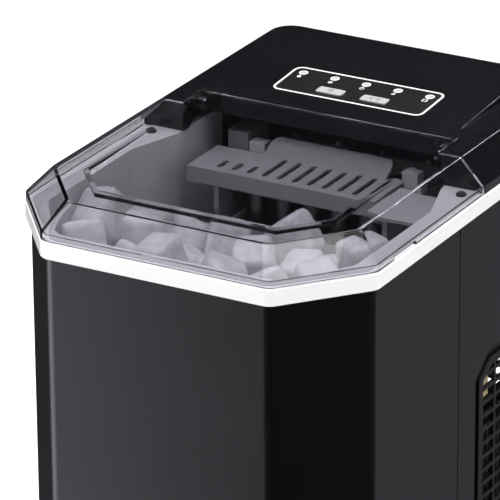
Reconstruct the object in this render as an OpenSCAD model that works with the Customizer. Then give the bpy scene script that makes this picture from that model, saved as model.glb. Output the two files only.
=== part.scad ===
// Countertop ice maker: black cabinet, white trim band, clear hinged lid, and the whole machine inside.
// X is across the machine, Y runs from the front (negative) to the back, Z is up from the table.

/* [Cabinet] */
// Width over the trim band
body_w = 220; // [200:1:270]
// Depth over the trim band
body_d = 316; // [300:1:380]
// Height of the flat top above the table
body_h = 320; // [300:1:390]
// Width taken off each front corner
corner_cut_x = 40; // [30:1:50]
// Depth taken off each front corner
corner_cut_y = 48; // [38:1:58]
// Radius of the rounded edges of the front corners
front_edge_r = 8; // [3:0.5:12]
// Radius of the upright rear corners
rear_corner_r = 20; // [12:1:26]
// Wall thickness of the moulded casings
casing_wall = 2.5; // [2:0.1:3.5]
// How far the trim band stands out from the casing
band_proud = 3; // [1.5:0.1:4]
// Height of the trim band
band_h = 10; // [8:0.5:14]
// Thickness of the trim band, front to back
band_t = 6; // [5:0.5:8]
// Distance from the front to the seam between the casings
seam_y = 149.5; // [140:0.5:156]
// Width of the seam
seam_gap = 0.6; // [0.3:0.1:1]

/* [Top] */
// Height of the upright lip of the lid and the top housing
lip_h = 5; // [4:0.5:7]
// How far the sloping shoulder runs in from each side
shoulder_x = 14.5; // [10:0.5:18]
// How far the front shoulder runs back
shoulder_front = 14.3; // [10:0.1:20]
// Width taken off each front corner of the flat top
top_cut_x = 33; // [26:0.5:40]
// Depth taken off each front corner of the flat top
top_cut_y = 39.7; // [30:0.1:46]
// Thickness of the top housing
housing_wall = 2.5; // [2:0.1:3.5]
// Distance from the front to the front ends of the two arms
arm_y = 174; // [165:0.5:180]
// Distance from the front to the back of the slot between the arms
slot_y = 198; // [192:0.5:204]
// Half the distance between the arms
arm_x = 82; // [76:0.5:88]

/* [Control panel] */
// Half the width of the raised panel
panel_x = 76; // [60:0.5:80]
// Distance from the front to the start of the raised panel
panel_y = 208; // [204:0.5:214]
// Length of the raised panel
panel_len = 76; // [66:0.5:84]
// Height that the panel rises to
panel_rise = 5; // [3:0.1:7]
// Width of the printed label
label_w = 96.6; // [80:0.1:110]
// Depth of the printed label
label_d = 33.8; // [28:0.1:40]
// Thickness of the printed label
label_t = 0.4; // [0.2:0.05:0.8]
// Distance between neighbouring indicator lamps
lamp_pitch = 20.4; // [16:0.1:22]
// Radius of an indicator lamp
lamp_r = 1.5; // [1:0.1:2.2]
// Width of a push button
button_w = 16.5; // [12:0.5:20]
// Depth of a push button
button_d = 7; // [5:0.5:9]
// Distance between the two push buttons
button_pitch = 28.2; // [24:0.1:34]
// Travel of a push button
button_travel = 0.8; // [0.5:0.1:1.2]

/* [Lid] */
// Thickness of the clear lid
lid_t = 2.5; // [2:0.1:3]
// Gap between the lid and the arms
lid_gap = 0.9; // [0.6:0.1:1.2]
// Radius of the hinge pins
hinge_r = 2; // [1.5:0.1:2.5]
// Radial running clearance of the hinge pins
hinge_clear = 0.05; // [0.02:0.01:0.1]
// Radius of the lid's hinge ears
ear_r = 4.6; // [4:0.1:5]
// Length of a hinge pin
pin_len = 14; // [12:0.5:18]
// Depth of the sunken window at its front
window_deep = 2.4; // [2:0.1:5]

/* [Inside] */
// Depth of the ice and water tub below the band
tub_deep = 134; // [110:1:150]
// Wall thickness of the tub
tub_wall = 2; // [1.5:0.1:3]
// Half the width of the tub at its mouth
tub_x = 94; // [86:0.5:96]
// Half the width of the tub between the arms
tub_rear_x = 83; // [82.5:0.5:88]
// Length of the tub from its front wall to its open back
tub_len = 206; // [200:1:212]
// Thickness of the foam round the tub
foam_t = 6; // [4:0.5:8]
// Half the width of the ice basket
basket_x = 78; // [70:0.5:80]
// Length of the ice basket
basket_len = 128; // [110:1:132]
// Height of the ice basket
basket_h = 98; // [80:1:104]
// Wall thickness of the ice basket
basket_wall = 2; // [1.5:0.1:2.5]
// Distance from the middle to the right end of the ice shovel
shovel_x = 50; // [46:0.5:50.5]
// Distance from the middle to the left end of the ice shovel
shovel_left = 70; // [58:0.5:72]
// Stroke of the ice shovel
shovel_stroke = 36; // [25:1:38]
// Half the width of the water tray
tray_x = 46; // [44:0.5:48]
// Depth of the water tray
tray_deep = 26; // [22:0.5:28]
// Radius of the tray shaft
shaft_r = 2.5; // [2:0.1:3]
// Number of freezing fingers
finger_count = 9; // [7:2:9]
// Radius of a freezing finger
finger_r = 5; // [4:0.1:5.5]

/* [Cooling] */
// Radius of the compressor shell
compressor_r = 44; // [38:0.5:46]
// Height of the compressor shell
compressor_h = 108; // [90:1:112]
// Number of condenser fins
fin_count = 22; // [14:1:28]
// Radius of the fan blades
fan_r = 42; // [34:0.5:44]
// Gap between the blade tips and the shroud
fan_gap = 3; // [2:0.5:5]
// Number of fan blades
blade_count = 7; // [5:1:9]
// Radius of the fan motor's shaft
motor_shaft_r = 2; // [1.5:0.1:2.5]
// Radius of the refrigerant tubes
tube_r = 3; // [2:0.1:3.5]
// Radius of the hole for the mains lead
lead_hole_r = 4; // [3:0.1:5]

/* [Feet] */
// Height of the rubber feet
foot_h = 8; // [5:0.5:12]
// Radius of the rubber feet
foot_r = 11; // [8:0.5:14]

/* [Hidden] */

$fn = 48;
arc_steps = 6;
eps = 0.01;
half_w = body_w / 2;
half_d = body_d / 2;
front = -half_d;
band_z = body_h - 30;
band_top = band_z + band_h;
lip_top = band_top + lip_h;
pan_z = foot_h;
pan_t = 1.5;
casing_z = pan_z + 3;
inner_x = half_w - band_proud - casing_wall;
lid_seat = 0.3;
rim_inset = 0.5;
print_gap = 0.3;

// Corner points [x, y, radius] turned into an outline with round corners.
function unit(v) = v / norm(v);
function turn(a) = a > 180 ? a - 360 : a < -180 ? a + 360 : a;
function corner(a, p, b) =
    let (pa = [a[0] - p[0], a[1] - p[1]], pb = [b[0] - p[0], b[1] - p[1]], u = unit(pa), v = unit(pb),
         r = max(p[2], 0.2), half = acos(u * v) / 2, t = r / tan(half),
         c = [p[0], p[1]] + unit(u + v) * r / sin(half),
         s = [p[0], p[1]] + u * t - c, e = [p[0], p[1]] + v * t - c,
         a0 = atan2(s[1], s[0]), da = turn(atan2(e[1], e[0]) - a0))
    [for (i = [0:arc_steps]) c + r * [cos(a0 + da * i / arc_steps), sin(a0 + da * i / arc_steps)]];
function rounded(pts) =
    [for (i = [0:len(pts) - 1]) each corner(pts[(i + len(pts) - 1) % len(pts)], pts[i], pts[(i + 1) % len(pts)])];
function box_outline(x0, y0, x1, y1, r) = rounded([[x0, y0, r], [x1, y0, r], [x1, y1, r], [x0, y1, r]]);

// Outline with two cut front corners, moved inwards by d on every side.
function cut_outline(hw, y0, y1, cx, cy, d, rf, rr) =
    let (l = norm([cx, cy]), xa = hw - cx - d * (l - cx) / cy, yb = y0 + cy + d * (l - cy) / cx)
    rounded([[xa, y0 + d, rf], [hw - d, yb, rf], [hw - d, y1 - d, rr], [-hw + d, y1 - d, rr],
             [-hw + d, yb, rf], [-xa, y0 + d, rf]]);
function body_outline(d) =
    cut_outline(half_w, front, half_d, corner_cut_x, corner_cut_y, d, front_edge_r, max(rear_corner_r - d, 1));
function top_outline(d) =
    cut_outline(half_w - shoulder_x, front + shoulder_front, half_d - 1.5, top_cut_x, top_cut_y, d,
                front_edge_r, max(rear_corner_r - shoulder_x / 2 - d, 1));

module prism(pts, z0, z1) {
    translate([0, 0, z0])
    linear_extrude(z1 - z0)
    polygon(pts);
}

module ring(outer, inner, z0, z1) {
    difference() {
        prism(outer, z0, z1);
        prism(inner, z0 - 1, z1 + 1);
    }
}

module block(x0, x1, y0, y1, z0, z1) {
    translate([x0, y0, z0])
    cube([x1 - x0, y1 - y0, z1 - z0]);
}

module rod(a, b, r) {
    d = b - a;
    translate(a)
    rotate([0, acos(d[2] / norm(d)), atan2(d[1], d[0])])
    cylinder(h = norm(d), r = r);
}

// A bent tube: straight rods that stop just short of each bend, and a ball over the bend.
module pipe(route, r) {
    last = len(route) - 1;
    for (i = [0:last - 1]) {
        step = unit(route[i + 1] - route[i]) * r * 0.2;
        rod(i == 0 ? route[0] : route[i] + step, i == last - 1 ? route[last] : route[i + 1] - step, r);
    }
    for (i = [1:last - 1]) translate(route[i]) sphere(r = r * 1.05);
}

// Faces along X, given as [y, z] points.
module side_prism(pts, x0, x1) {
    translate([x0, 0, 0])
    rotate([90, 0, 90])
    linear_extrude(x1 - x0)
    polygon(pts);
}

// The common outer form of the lid and the top housing, moved inwards by d.
module crown(d, z0) {
    hull() {
        prism(body_outline(rim_inset + d), z0, lip_top - d * 0.6);
        prism(top_outline(d), body_h - d - 0.2, body_h - d);
    }
}

/* ---- cabinet ---- */
seam = front + seam_y;
pan_inset = band_proud + casing_wall + 0.4;
pan_rim = 8;
boss_r = 4;
boss_in = 7;
base_screw_y = [seam - 40, half_d - 40];
base_screw_xy = [for (x = [-1, 1]) for (y = base_screw_y) [x * (inner_x - boss_in), y]];
foot_x = half_w - 38;
foot_y = half_d - 38;
drain_x = -30;
drain_y = front + 70;
drain_r = 9;
base_screw_r = 1.6;

module base_pan() {
    color("silver")
    difference() {
        union() {
            prism(body_outline(pan_inset), pan_z, pan_z + pan_t);
            ring(body_outline(pan_inset), body_outline(pan_inset + pan_t), pan_z, pan_z + pan_rim);
        }
        for (x = [-1, 1]) for (y = [-1, 1])
            translate([x * foot_x, y * foot_y, 0]) cylinder(h = 30, r = foot_r / 3);
        translate([drain_x, drain_y, 0]) cylinder(h = 30, r = drain_r + 2);
        for (p = base_screw_xy) translate([p[0], p[1], 0]) cylinder(h = 30, r = base_screw_r + 0.3);
        for (i = [0:5]) block(-40, 40, 36 + i * 12, 41 + i * 12, 0, 30);
    }
}

module foot() {
    rotate_extrude()
    polygon([[0, 0], [foot_r - 1.5, 0], [foot_r, 1.5], [foot_r - 1, foot_h], [foot_r / 3 - 0.2, foot_h],
             [foot_r / 3 - 0.2, foot_h + pan_t], [foot_r / 3 + 1, foot_h + pan_t + 0.4],
             [foot_r / 3 - 0.4, foot_h + pan_t + 3], [0, foot_h + pan_t + 3]]);
}

module rubber_feet() {
    color("dimgray")
    for (x = [-1, 1]) for (y = [-1, 1]) translate([x * foot_x, y * foot_y, 0]) foot();
}

boss_top = pan_z + pan_rim + 8;

// Boss for one base screw, joined to the casing wall above the pan's rim.
module screw_boss(p) {
    s = sign(p[0]);
    difference() {
        union() {
            translate([p[0], p[1], pan_z + pan_t + 0.2]) cylinder(h = boss_top - pan_z - pan_t, r = boss_r);
            block(s > 0 ? p[0] : -inner_x - 0.5, s > 0 ? inner_x + 0.5 : p[0], p[1] - 1.5, p[1] + 1.5,
                  pan_z + pan_rim + 1, boss_top);
        }
        translate([p[0], p[1], 0]) cylinder(h = boss_top - 3, r = base_screw_r);
    }
}

module casing_shell(d) {
    ring(body_outline(band_proud + d), body_outline(band_proud + casing_wall + d), casing_z, band_z);
}

module front_casing() {
    tongue_z = casing_z + pan_rim;
    color([0.16, 0.16, 0.18]) {
        intersection() {
            casing_shell(0);
            block(-half_w, half_w, front, seam - seam_gap / 2, 0, body_h);
        }
        // tongues that lie behind the seam, and the pads that carry them
        for (s = [-1, 1]) {
            x0 = min(s * half_w, s * (inner_x - 10));
            x1 = max(s * half_w, s * (inner_x - 10));
            intersection() {
                casing_shell(casing_wall + 0.15);
                block(x0, x1, seam - 12, seam + 6, tongue_z, band_z - 4);
            }
            intersection() {
                ring(body_outline(band_proud + casing_wall - eps), body_outline(band_proud + casing_wall + 1.6),
                     casing_z, band_z);
                block(x0, x1, seam - 12, seam - 6, tongue_z, band_z - 4);
            }
            screw_boss([s * (inner_x - boss_in), base_screw_y[0]]);
        }
    }
}

grille_front = front + 170.5;
grille_back = half_d - 26;
grille_top = band_z - 89;
grille_low = 44;
grille_cut_y = 17;
grille_cut_z = 13;
grille_groove = 6;
groove_floor = 1.2;
grille_depth = 4;
grille_rim = 5;
cell_y = 18.7;
cell_z = 8.4;
bar = 2.2;
function grille_pts(d) = [[grille_front + d, grille_low + d], [grille_back - d, grille_low + d],
    [grille_back - d, grille_top - d], [grille_front + grille_cut_y + d * 0.41, grille_top - d],
    [grille_front + d, grille_top - grille_cut_z - d * 0.41]];

vent_x = 60;
vent_low = 60;
vent_top = 190;
gland_x = -70;
gland_z = 36;
gland_r = 9;
casing_screw_z = [casing_z + 22, band_z * 0.55, band_z - 24];
casing_screw_x = inner_x - rear_corner_r;
casing_screw_r = 1.6;

module rear_casing() {
    color([0.13, 0.13, 0.15])
    for (s = [-1, 1]) screw_boss([s * (inner_x - boss_in), base_screw_y[1]]);
    color([0.13, 0.13, 0.15])
    difference() {
        intersection() {
            casing_shell(0);
            block(-half_w, half_w, seam + seam_gap / 2, half_d, 0, body_h);
        }
        for (x = [-1, 1])
            side_prism(grille_pts(0), x > 0 ? inner_x - 5 : -half_w - 5, x > 0 ? half_w + 5 : -inner_x + 5);
        block(-vent_x, vent_x, half_d - 12, half_d, vent_low, vent_top);
        translate([gland_x, half_d, gland_z]) rotate([90, 0, 0]) cylinder(h = 20, r = gland_r);
        for (x = [-1, 1]) for (z = casing_screw_z)
            translate([x * casing_screw_x, half_d, z]) rotate([90, 0, 0]) cylinder(h = 12, r = casing_screw_r + 0.2);
    }
}

module trim_band() {
    color("white")
    difference() {
        union() {
            ring(body_outline(0.6), body_outline(band_t), band_z, band_top);
            ring(body_outline(0), body_outline(band_t), band_z + 0.6, band_top - 0.6);
        }
        prism(body_outline(band_proud + 0.2), band_z - 1, band_z + 1);
    }
}

// One moulded louvre, drawn on the right side: a rim, upright ribs and flat slats.
module louvre() {
    out_x = half_w - band_proud;
    rim_x = out_x - 0.6;
    cells = grille_groove + grille_rim;
    // raised rim
    difference() {
        side_prism(grille_pts(grille_groove), out_x - grille_depth, rim_x);
        side_prism(grille_pts(cells), out_x - grille_depth - 1, half_w);
    }
    // floor of the groove round the rim
    difference() {
        side_prism(grille_pts(0.25), out_x - grille_depth, out_x - grille_depth + groove_floor);
        side_prism(grille_pts(grille_groove + 1), out_x - grille_depth - 1, half_w);
    }
    intersection() {
        side_prism(grille_pts(cells - 1), out_x - grille_depth, rim_x - 1.4);
        union() {
            for (y = [grille_front + cells + cell_y - bar : cell_y : grille_back])
                block(0, half_w, y, y + bar, 0, body_h);
            for (z = [grille_top - cells - cell_z + bar : -cell_z : grille_low])
                block(0, half_w, 0, half_d, z, z + bar);
        }
    }
    difference() {
        side_prism(grille_pts(-3), out_x - casing_wall - 2, out_x - casing_wall - 0.1);
        side_prism(grille_pts(cells), 0, half_w);
    }
}

module right_grille() {
    color([0.1, 0.1, 0.11]) louvre();
}

module left_grille() {
    color([0.1, 0.1, 0.11]) mirror([1, 0, 0]) louvre();
}

module back_grille() {
    out_y = half_d - band_proud;
    color([0.1, 0.1, 0.11])
    difference() {
        union() {
            block(-vent_x + 0.3, vent_x - 0.3, out_y - 3.5, out_y - 0.5, vent_low + 0.3, vent_top - 0.3);
            block(-vent_x - 4, vent_x + 4, out_y - casing_wall - 2, out_y - casing_wall - 0.1,
                  vent_low - 4, vent_top + 4);
        }
        for (z = [vent_low + 6 : cell_z : vent_top - 9]) for (x = [-1, 0, 1])
            block(x * 38 - 17, x * 38 + 17, 0, half_d, z, z + cell_z - bar);
    }
}

/* ---- top housing and panel ---- */
arm_front = front + arm_y;
slot_back = front + slot_y;
panel_front = front + panel_y;
panel_back = panel_front + panel_len;
tilt = atan(panel_rise / panel_len);
panel_cut = 18;

function panel_outline(d) = [[-panel_x + d, panel_front + d], [panel_x - d, panel_front + d],
    [panel_x - d, panel_back - panel_cut - d * 0.41], [panel_x - panel_cut - d * 0.41, panel_back - d],
    [-panel_x + panel_cut + d * 0.41, panel_back - d], [-panel_x + d, panel_back - panel_cut - d * 0.41]];

module on_panel() {
    translate([0, panel_front, body_h]) rotate([tilt, 0, 0]) children();
}

// The raised control field as a wedge, moved inwards by d.
module panel_wedge(d, drop) {
    intersection() {
        prism(panel_outline(d), body_h - 12, body_h + 20);
        side_prism([[panel_front - 1, body_h - 8], [panel_front, body_h - drop],
                    [panel_back, body_h + panel_rise - drop], [panel_back + 1, body_h - 8]], -panel_x, panel_x);
    }
}

// Inner edge of each arm, with the low scoop behind the arm's nose.
module arm_scoop() {
    scoop = [[arm_front + 6, band_top - 1], [arm_front + 9, band_top + 2], [arm_front + 14, band_top + 4],
             [arm_front + 36, band_top + 3.4], [arm_front + 52, band_top - 1]];
    side_prism(scoop, -arm_x - housing_wall - 1, -arm_x + 1);
    side_prism(scoop, arm_x - 1, arm_x + housing_wall + 1);
}

led_y = 32.6;
button_y = 16;
module panel_holes() {
    on_panel() {
        for (i = [-2:2]) translate([i * lamp_pitch, led_y, -6]) cylinder(h = 12, r = lamp_r + 0.15);
        for (s = [-1, 1])
            translate([s * button_pitch / 2, button_y, -6])
            linear_extrude(12)
            polygon(box_outline(-button_w / 2 - print_gap, -button_d / 2 - print_gap,
                                button_w / 2 + print_gap, button_d / 2 + print_gap, 1.5));
    }
}

// Space for the lid's tongue between the arms.
module lid_slot(g) {
    block(-arm_x + g, arm_x - g, arm_front - 1, slot_back - g, band_top - 30, body_h + 30);
}

slot_wall_h = 15;
module top_housing() {
    color([0.11, 0.11, 0.13])
    difference() {
        union() {
            difference() {
                crown(0, band_top);
                difference() {
                    crown(housing_wall, band_top - 1);
                    for (s = [-1, 1])
                        block(s * arm_x - housing_wall * (s < 0 ? 1 : 0), s * arm_x + housing_wall * (s > 0 ? 1 : 0),
                              arm_front, slot_back + housing_wall, 0, body_h);
                    block(-arm_x - housing_wall, arm_x + housing_wall, slot_back, slot_back + housing_wall,
                          body_h - slot_wall_h, body_h);
                    for (s = [-1, 1])
                        block(s > 0 ? arm_x : -half_w, s > 0 ? half_w : -arm_x, arm_front, arm_front + housing_wall,
                              0, body_h);
                }
            }
            panel_wedge(0, 0);
            // bosses that hold the hinge pins
            for (s = [-1, 1])
                translate([s * (arm_x + pin_len / 4 + eps), hinge_y, hinge_z])
                rotate([0, 90, 0])
                cylinder(h = pin_len / 2, r = hinge_r + 2, center = true);
        }
        block(-half_w - 1, half_w + 1, front - 1, arm_front, 0, body_h + 30);
        lid_slot(0);
        panel_wedge(housing_wall, housing_wall);
        arm_scoop();
        panel_holes();
        for (s = [-1, 1])
            translate([s * arm_x, hinge_y, hinge_z])
            rotate([0, 90, 0])
            cylinder(h = pin_len + 1, r = hinge_r, center = true);
    }
}

module panel_label() {
    difference() {
        color([0.1, 0.1, 0.11])
        on_panel()
        translate([0, 0, 0.02])
        linear_extrude(label_t)
        polygon(box_outline(-label_w / 2, led_y + 7.4 - label_d, label_w / 2, led_y + 7.4, 5));
        panel_holes();
    }
}

module indicator_lamps() {
    color("whitesmoke")
    on_panel()
    for (i = [-2:2]) translate([i * lamp_pitch, led_y, -4])
        rotate_extrude()
        polygon([[0, 0], [lamp_r - 0.1, 0], [lamp_r - 0.1, 4 + label_t + 0.1], [0, 4 + label_t + 0.3]]);
}

board_drop = 9;
stem_len = board_drop - 3.4 - button_travel;
module button_cap() {
    cap_t = 2.5;
    translate([0, 0, label_t + 0.6 - cap_t])
    linear_extrude(cap_t)
    polygon(box_outline(-button_w / 2, -button_d / 2, button_w / 2, button_d / 2, 1.2));
    translate([-3, -2, -stem_len]) cube([6, 4, stem_len]);
}

module power_button() {
    color("white") on_panel() translate([-button_pitch / 2, button_y, 0]) button_cap();
}

module select_button() {
    color("white") on_panel() translate([button_pitch / 2, button_y, 0]) button_cap();
}

module control_board() {
    color("darkgreen")
    on_panel() {
        translate([-52, 3, -board_drop - 1.6]) cube([104, 40, 1.6]);
        for (s = [-1, 1]) translate([s * button_pitch / 2, button_y, -board_drop]) {
            translate([-3, -3, 0]) cube([6, 6, 2.4]);
            cylinder(h = 3.2, r = 1.6);
        }
        for (i = [-2:2]) translate([i * lamp_pitch, led_y, -board_drop]) cylinder(h = 4.5, r = 1.4);
        translate([-46, 8, -board_drop - 8]) cube([14, 9, 6.5]);
        translate([-6, 22, -board_drop - 3.6]) cube([14, 14, 2.1]);
    }
}

/* ---- lid ---- */
slot_gap = 2.6;
hinge_y = slot_back - 9;
hinge_z = body_h - 6;
swing_gap = norm([hinge_y - arm_front, body_h - hinge_z]) - (hinge_y - arm_front) + 0.15;
window_front = front + 36;
window_back = arm_front - 34;
window_x = 76;
window_cut_x = 21;
window_cut_y = 24.2;
window_draft = 1.2;
window_cut_depth = 6;
rim_slot_y = front + 67;
rim_slot_len = 25;

function window_outline(d) =
    cut_outline(window_x, window_front, window_back + 12, window_cut_x, window_cut_y, d, 2, 2);

// Everything above the sloping floor of the window, moved down by t.
module above_window_floor(t) {
    slope = atan(window_deep / (window_back - window_front));
    translate([0, window_back, body_h - t])
    rotate([slope, 0, 0])
    translate([-half_w, -half_d, 0])
    cube([body_w, body_d, 30]);
}

module window_cut() {
    intersection() {
        hull() {
            prism(window_outline(0), body_h, body_h + 1);
            prism(window_outline(window_draft), body_h - window_cut_depth, body_h - window_cut_depth + 1);
        }
        above_window_floor(0);
    }
}

module window_floor() {
    intersection() {
        prism(window_outline(-lid_t), body_h - window_deep - lid_t - 1, body_h - eps);
        above_window_floor(lid_t);
    }
}

module lid() {
    color([0.8, 0.8, 0.85, 0.35])
    difference() {
        union() {
            intersection() {
                union() {
                    difference() {
                        crown(0, band_top + lid_seat);
                        crown(lid_t, band_top - 1);
                    }
                    window_floor();
                }
                union() {
                    block(-half_w, half_w, front, arm_front - swing_gap, band_top, body_h);
                    block(-arm_x + lid_gap, arm_x - lid_gap, arm_front - 2, slot_back - slot_gap, band_top, body_h);
                }
            }
            // ears that turn on the hinge pins
            for (s = [-1, 1]) intersection() {
                translate([s * (arm_x - lid_gap - 3), hinge_y, hinge_z])
                rotate([0, 90, 0])
                cylinder(h = 6, r = ear_r, center = true);
                block(-arm_x + lid_gap, arm_x - lid_gap, front, half_d, 0, body_h - lid_t / 2);
            }
            // stiffening rib along the back edge of the wide part
            for (s = [-1, 1])
                block(s > 0 ? arm_x - lid_gap - lid_t : -arm_x + lid_gap, s > 0 ? arm_x - lid_gap : -arm_x + lid_gap + lid_t,
                      arm_front - 2, hinge_y, body_h - 7, body_h - 1);
        }
        window_cut();
        for (s = [-1, 1])
            translate([s * (arm_x - lid_gap), hinge_y, hinge_z])
            rotate([0, 90, 0])
            cylinder(h = 20, r = hinge_r + hinge_clear, center = true);
        // finger slot under the rim on the right
        block(half_w - 2.4, half_w, rim_slot_y, rim_slot_y + rim_slot_len, band_top, band_top + 2.4);
    }
}

module hinge_pins() {
    color("black")
    for (s = [-1, 1])
        translate([s * arm_x, hinge_y, hinge_z])
        rotate([0, 90, 0])
        cylinder(h = pin_len, r = hinge_r, center = true);
}

bumper_r = 3;
module lid_bumpers() {
    color("black")
    for (s = [-1, 1]) translate([s * (half_w - 12), arm_front - 9, band_top - 3])
        rotate_extrude()
        polygon([[0, 0], [1.4, 0], [1.4, 3], [bumper_r, 3], [bumper_r, 4], [bumper_r - 1, 4.8], [0, 4.8]]);
}

/* ---- tub, basket and foam ---- */
tub_front = front + 13;
tub_back = tub_front + tub_len;
tub_floor = band_top - tub_deep;
narrow_y = arm_front - 38;
narrow_len = 34;

// Plan of the tub: wide in front, drawn in between the arms.
function tub_plan(d) = rounded([
    [half_w * 0.62 - d, tub_front + d, 12], [tub_x - d, tub_front + 38 + d / 2, 10],
    [tub_x - d, narrow_y, 20], [tub_rear_x - d, narrow_y + narrow_len, 20], [tub_rear_x - d, tub_back, 1],
    [-tub_rear_x + d, tub_back, 1], [-tub_rear_x + d, narrow_y + narrow_len, 20], [-tub_x + d, narrow_y, 20],
    [-tub_x + d, tub_front + 38 + d / 2, 10], [-half_w * 0.62 + d, tub_front + d, 12]]);

module tub() {
    flange = 3;
    color([0.78, 0.78, 0.8])
    difference() {
        union() {
            prism(tub_plan(-tub_wall), tub_floor - tub_wall, band_top - eps);
            intersection() {
                prism(body_outline(band_t + 0.2), band_top - flange, band_top);
                block(-half_w, half_w, front, tub_back, 0, body_h);
            }
        }
        prism(tub_plan(0), tub_floor, band_top + 1);
        block(-tub_rear_x - tub_wall - 1, tub_rear_x + tub_wall + 1, tub_back - 0.2, half_d, 0, body_h);
        translate([drain_x, drain_y, 0]) cylinder(h = body_h, r = drain_r - 3);
        for (s = [-1, 1])
            translate([s * (half_w - 12), arm_front - 9, 0]) cylinder(h = body_h, r = 1.6);
    }
    // rests for the basket
    for (s = [-1, 1])
        block(s > 0 ? basket_x - 12 : -basket_x, s > 0 ? basket_x : -basket_x + 12,
              basket_y0 + 6, basket_y0 + 20, tub_floor, basket_z - 0.3);
}

module tub_foam() {
    lo = tub_floor - tub_wall - foam_t;
    color("moccasin")
    difference() {
        intersection() {
            prism(tub_plan(-tub_wall - foam_t), lo, band_z - 4);
            prism(body_outline(band_proud + casing_wall + 3.2), lo - 1, band_z);
            block(-half_w, half_w, front, tub_back, 0, body_h);
        }
        prism(tub_plan(-tub_wall - 0.2), tub_floor - tub_wall - 0.2, band_top);
        translate([drain_x, drain_y, 0]) cylinder(h = body_h, r = drain_r + 0.5);
    }
}

// Black rear wall of the freezing chamber, closing the back of the tub.
chamber_len = 24;
module chamber_back() {
    w = tub_rear_x + tub_wall;
    color([0.12, 0.12, 0.14])
    difference() {
        block(-w, w, tub_back, tub_back + chamber_len, tub_floor - tub_wall, band_top + 5);
        block(-w + tub_wall, w - tub_wall, tub_back - 1, tub_back + chamber_len - tub_wall, tub_floor, body_h);
        block(-52, 52, tub_back + chamber_len - tub_wall - 1, half_d, band_top - 10, band_top - 4);
    }
}

basket_y0 = tub_front + 10;
basket_y1 = basket_y0 + basket_len;
basket_z = tub_floor + 12;
basket_top = basket_z + basket_h;
basket_low = basket_z + basket_h - 34;
module ice_basket() {
    slot_w = 5;
    color([0.85, 0.87, 0.9, 0.6])
    difference() {
        union() {
            hull() {
                prism(box_outline(-basket_x + 8, basket_y0 + 8, basket_x - 8, basket_y1 - 3, 10), basket_z, basket_z + 1);
                prism(box_outline(-basket_x + 4, basket_y0 + 4, basket_x - 4, basket_y1, 12),
                      basket_top - 1, basket_top);
            }
            prism(box_outline(-basket_x, basket_y0, basket_x, basket_y1 + 1, 12), basket_top - 2.5, basket_top);
        }
        hull() {
            prism(box_outline(-basket_x + 8 + basket_wall, basket_y0 + 8 + basket_wall,
                              basket_x - 8 - basket_wall, basket_y1 - 3 - basket_wall, 8),
                  basket_z + basket_wall, basket_z + basket_wall + 1);
            prism(box_outline(-basket_x + 4 + basket_wall, basket_y0 + 4 + basket_wall,
                              basket_x - 4 - basket_wall, basket_y1 - basket_wall, 10),
                  basket_top, basket_top + 1);
        }
        // the back is low, so that ice can be pushed in over it
        block(-basket_x - 1, basket_x + 1, basket_y1 - 44, basket_y1 + 5, basket_low, basket_top + 2);
        for (i = [-5:5]) block(i * 12 - slot_w / 2, i * 12 + slot_w / 2, basket_y0 + 24, basket_y1 - 20, 0, basket_z + 5);
        for (i = [-5:5]) block(i * 12 - slot_w / 2, i * 12 + slot_w / 2, front, basket_y0 + 20,
                               basket_z + 16, basket_low - 12);
    }
}

/* ---- freezing mechanism ---- */
tray_axis_y = arm_front + 34;
tray_axis_z = band_top - 36;
tray_front = tray_axis_y - 47;
tray_wall = 2;
frame_x = tray_x + 5;
frame_t = 3;
frame_top = band_top - 20;
finger_z = tray_axis_z + 8;
wing_y = tray_front - 15.5;
wing_z = band_top - 13;
wing_len = 40;
wing_x = max(frame_x, shovel_x + 1);
rail_foot = frame_top - 4;
row_gap = 18;
row_y = tray_axis_y - 32;

module mechanism_frame() {
    color([0.7, 0.7, 0.73])
    difference() {
        union() {
            for (s = [-1, 1])
                side_prism([[tray_front - 2, finger_z - 8], [tray_front + 4, finger_z - 22], [tray_axis_y - 6, tray_axis_z - 12],
                            [tray_axis_y + 8, tray_axis_z - 12], [tub_back + chamber_len - tub_wall, tray_axis_z - 2],
                            [tub_back + chamber_len - tub_wall, frame_top], [tray_front - 2, frame_top]],
                           s > 0 ? frame_x : -frame_x - frame_t, s > 0 ? frame_x + frame_t : -frame_x);
            block(-frame_x - 1, frame_x + 1, tub_back + chamber_len - tub_wall - 3, tub_back + chamber_len - tub_wall,
                  frame_top - 10, frame_top);
            // side wing level with the shovel, on a rail that stands on the side plate
            block(wing_x, tub_rear_x - 1, wing_y, wing_y + wing_len, wing_z - 2, wing_z);
            block(wing_x, wing_x + frame_t, tray_front, wing_y + wing_len, rail_foot, wing_z);
            block(frame_x, wing_x + frame_t, tray_front, wing_y + wing_len, rail_foot, rail_foot + 2.4);
        }
        translate([-half_w, tray_axis_y, tray_axis_z]) rotate([0, 90, 0]) cylinder(h = body_w, r = shaft_r + 0.05);
    }
}

motor_x = -frame_x - frame_t;
motor_w = 16;
module tray_motor() {
    color("gainsboro")
    difference() {
        union() {
            block(motor_x - motor_w, motor_x - 3, tray_axis_y - 4, tray_axis_y + 20, tray_axis_z - 8, band_top - 7);
            block(motor_x - 3, motor_x - 0.2, tray_axis_y - 4, tray_axis_y + 14, tray_axis_z - 8, frame_top - 2);
        }
        translate([motor_x - 12, tray_axis_y, tray_axis_z]) rotate([0, 90, 0]) cylinder(h = body_w, r = shaft_r + 0.05);
    }
}

module tray_shaft() {
    color("silver")
    translate([motor_x - 11, tray_axis_y, tray_axis_z])
    rotate([0, 90, 0])
    cylinder(h = frame_x + frame_t + 2 - motor_x + 11, r = shaft_r);
}

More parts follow.
